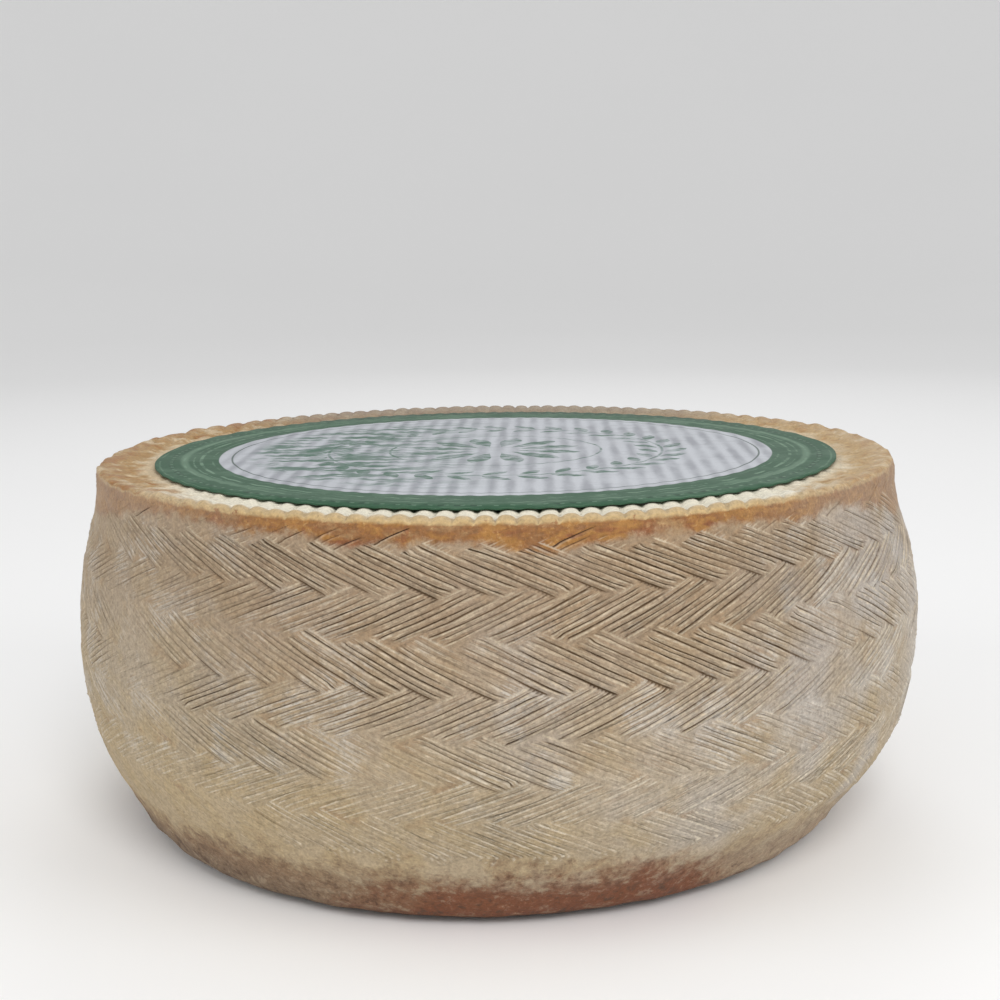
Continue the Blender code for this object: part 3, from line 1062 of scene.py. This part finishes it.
rib_place = (paper_x * math.cos(RIB_YAW) + paper_y * math.sin(RIB_YAW) - RIB_OFFSET) / RIB_PITCH
stain = spot.stretched(1.0, 0.3, 1.0).grain(0.004, 3.0, 0.65, 6.0)
off_crest = (rib_place.math("FRACT") - 0.5).math("ABSOLUTE") + (stain - 0.5) * 0.5
stripe_noise = spot.stretched(1.0, 0.45, 1.0).grain(0.010, 3.0, 0.6, 12.0)
stripe_share = 0.34 + stripe_noise.between(0.36, 0.62) * 0.52
middle_colour = (off_crest.between(0.05, 0.46) * stripe_share).mix(PAPER_PALE, PAPER_GREY)
scratch = spot.stretched(0.12, 1.0, 1.0).grain(0.0022, 3.0, 0.6, 9.0)
middle_colour = (scratch.between(0.56, 0.66) * 0.35).mix(middle_colour, PAPER_GREY)
middle_colour = ((4.0 - paper_x).between(0.0, 60.0) * 0.18).mix(middle_colour, PAPER_GREY)
drawing = leaves(46.0, 34, 9.0, 3.4, 0.7).math("MAXIMUM", leaves(39.0, 30, 8.0, 3.0, -0.7))
drawing = drawing.math("MAXIMUM", band(out_mm, 42.5, 0.35))
drawing = drawing.math("MAXIMUM", leaves(14.0, 12, 17.0, 5.0, 1.571))
drawing = drawing.math("MAXIMUM", band(out_mm, 27.0, 0.30))
printed_well = spot.stretched(0.5, 1.0, 1.0).grain(0.0022, 4.0, 0.7, 2.0).between(0.42, 0.58)
drawing = drawing * (0.30 + 0.6 * printed_well)
meadow = spot.stretched(0.30, 1.0, 1.0).grain(0.0042, 4.0, 0.70, 8.0).between(0.46, 0.55)
meadow = meadow * (6.0 - paper_x).between(0.0, 45.0) * (64.0 - out_mm).between(0.0, 6.0)
print_colour = (meadow * 0.85).mix(middle_colour, DRAWN_GREEN)
print_colour = drawing.mix(print_colour, DRAWN_GREEN)
print_colour = (band(out_mm, THIN_CIRCLE, 0.22) * 0.8).mix(print_colour, GREEN_DARK)
print("middle printed")

# %% [markdown]
# ## The green ring
#
# The ring is one dark green, with thin paler circles, an arc at either side and a row of
# dashes. The lines have rubbed off in places, and one loop draws all the circles.

# %% Print the green ring
GREEN = (0.030, 0.088, 0.047, 1.0)
GREEN_LIGHT = (0.155, 0.255, 0.175, 1.0)
GREEN_RING = 70.0
DASH_RING = 81.4
DASH_COUNT = 150
PALE_CIRCLES = (
    (71.4, 0.22, 0.5),
    (74.2, 0.38, 0.85),
    (76.0, 0.20, 0.6),
    (78.4, 0.30, 0.7),
    (84.2, 0.20, 0.5),
)

rubbed = spot.grain(0.006, 4.0, 0.65, 7.0).between(0.42, 0.56)
cloudy = spot.grain(0.010, 4.0, 0.65, 3.0).between(0.45, 0.65)
ring_colour = (cloudy * 0.22).mix(GREEN, GREEN_LIGHT)
for ring, half_width, share in PALE_CIRCLES:
    ring_colour = (band(out_mm, ring, half_width) * rubbed * share).mix(ring_colour, GREEN_LIGHT)
swoosh = band(out_mm + turn_part.math("PINGPONG", 0.25) * 12.0, 78.6, 0.9, 0.5)
swoosh = swoosh * paper_x.math("ABSOLUTE").between(40.0, 62.0)
ring_colour = (swoosh * 0.5).mix(ring_colour, GREEN_LIGHT)
dark_dashes = band(out_mm, DASH_RING, 0.75) * dashes(DASH_COUNT, 0.55) * rubbed
ring_colour = (dark_dashes * 0.8).mix(ring_colour, GREEN_DARK)
pale_dashes = band(out_mm, DASH_RING, 0.35) * dashes(DASH_COUNT, 0.30, 0.6)
ring_colour = (pale_dashes * 0.6).mix(ring_colour, GREEN_LIGHT)
print_colour = out_mm.between(GREEN_RING - 0.3, GREEN_RING).mix(print_colour, ring_colour)
print("ring printed")

# %% [markdown]
# ## Wear and sheen of the paper
#
# Fibres and worn places make the print uneven. Coated paper has a soft sheen, which is duller
# where the paper is worn.

# %% Finish the paper
fibre = spot.grain(0.0005, 2.0, 0.6, 4.0)
worn = spot.grain(0.014, 3.0, 0.6, 5.0)
tone = 0.78 + fibre * 0.24 + worn * 0.20
print_colour = ink.node("ShaderNodeVectorMath", {"operation": "SCALE"}, {0: print_colour, 3: tone})
connect(print_colour, paper_shader.inputs["Base Color"])
connect(0.50 + worn * 0.20, paper_shader.inputs["Roughness"])
paper_shader.inputs["Specular IOR Level"].default_value = 0.22
connect(bump(ink, fibre + worn, 0.15, 0.0001), paper_shader.inputs["Normal"])
dressed_label.data.materials.append(paper)
print("label material has", len(ink.tree.nodes), "nodes")

# %% [markdown]
# ## The floor
#
# The floor is one round sheet that curves up far away, so that no edge shows behind the
# wheel. It is a stage only, so it is left out when the size of the wheel is measured.

# %% Lay the floor
FLAT_RADIUS = 1.3
BEND_RADIUS = 1.2
floor_form = bmesh.new()
sweep = [(0.0, 0.0), (FLAT_RADIUS, 0.0)]
for turn in (0.2, 0.4, 0.6, 0.8, 1.0, 1.2):
    out = FLAT_RADIUS + BEND_RADIUS * math.sin(turn)
    sweep.append((out, BEND_RADIUS * (1.0 - math.cos(turn))))
points = [floor_form.verts.new((out, 0.0, up)) for out, up in sweep]
edges = [floor_form.edges.new(pair) for pair in zip(points, points[1:])]
bmesh.ops.spin(
    floor_form,
    geom=points + edges,
    cent=(0.0, 0.0, 0.0),
    axis=(0.0, 0.0, 1.0),
    angle=TURN,
    steps=64,
    use_merge=True,
)
bmesh.ops.remove_doubles(floor_form, verts=floor_form.verts, dist=0.0001)
for face in floor_form.faces:
    face.smooth = True
    face.normal_flip()
floor_mesh = bpy.data.meshes.new("floor")
floor_form.to_mesh(floor_mesh)
floor_form.free()
floor = bpy.data.objects.new("floor", floor_mesh)
bpy.context.scene.collection.objects.link(floor)
floor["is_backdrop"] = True
floor_paint, floor_net, floor_shader = start_material("floor_pale")
floor_place = floor_net.node("ShaderNodeTexCoord", output=3)
floor_tone = floor_place.grain(0.5, 2.0, 0.5).mix((0.88, 0.88, 0.88, 1.0), (0.91, 0.91, 0.91, 1.0))
connect(floor_tone, floor_shader.inputs["Base Color"])
floor_shader.inputs["Roughness"].default_value = 0.8
floor_shader.inputs["Specular IOR Level"].default_value = 0.1
floor_mesh.materials.append(floor_paint)
print("floor laid")

# %% [markdown]
# ## The light
#
# Four large round lamps give soft light without hard shadows. The strongest stands in front
# and above, and the two at the sides graze the strokes, so that their depth shows. A white
# sky fills the shadows.

# %% Set the light
def soft_light(name, place, aim, size, power):
    """A round lamp at a place, turned to face another."""
    lamp = bpy.data.lights.new(name, "AREA")
    lamp.shape = "DISK"
    lamp.size = size
    lamp.energy = power
    holder = bpy.data.objects.new(name, lamp)
    holder.location = place
    holder.rotation_euler = (Vector(aim) - Vector(place)).to_track_quat("-Z", "Y").to_euler()
    bpy.context.scene.collection.objects.link(holder)


soft_light("key", (0.15, -0.85, 0.85), (0.0, 0.0, 0.05), 0.5, 5.0)
soft_light("right", (1.0, -0.5, 0.55), (0.0, 0.0, 0.05), 0.7, 3.5)
soft_light("left", (-1.0, -0.35, 0.5), (0.0, 0.0, 0.05), 0.7, 2.5)
soft_light("back", (0.1, 0.9, 0.9), (0.0, 0.0, 0.08), 0.7, 2.0)
world = bpy.data.worlds.new("studio")
world.use_nodes = True
world.node_tree.nodes["Background"].inputs[0].default_value = (1.0, 1.0, 1.0, 1.0)
world.node_tree.nodes["Background"].inputs[1].default_value = 0.62
bpy.context.scene.world = world
bpy.context.scene.view_settings.view_transform = "Standard"
print("lights set")

# %% [markdown]
# ## The camera
#
# The camera stands close to the wheel and a little above it. It looks ten degrees down, and
# leans sideways by less than one degree.

# %% Place the camera
SENSOR = 36.0
FOCAL_SHARE = 1.5309
CAMERA_PLACE = (0.00096, -0.3892, 0.1434)
CAMERA_DOWN = math.radians(9.815)
CAMERA_ROLL = math.radians(-0.772)
lens = bpy.data.cameras.new("camera")
lens.sensor_fit = "HORIZONTAL"
lens.sensor_width = SENSOR
lens.lens = SENSOR * FOCAL_SHARE
lens.clip_start = 0.01
camera = bpy.data.objects.new("camera", lens)
camera.matrix_world = (
    Matrix.Translation(CAMERA_PLACE)
    @ Matrix.Rotation(math.pi / 2 - CAMERA_DOWN, 4, "X")
    @ Matrix.Rotation(CAMERA_ROLL, 4, "Z")
)
bpy.context.scene.collection.objects.link(camera)
bpy.context.scene.camera = camera
print("lens", round(lens.lens, 1), "mm")

# %% [markdown]
# ## Finish
#
# The size of the dressed wheel is shown beside that of the plain solid, so that the two
# can be compared.

# %% Show the sizes and finish
def plain(value):
    """Turns nested vectors into plain lists."""
    return [plain(part) for part in value] if hasattr(value, "__len__") else float(value)


{"solid": plain(solid_box), "dressed": plain(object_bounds())}
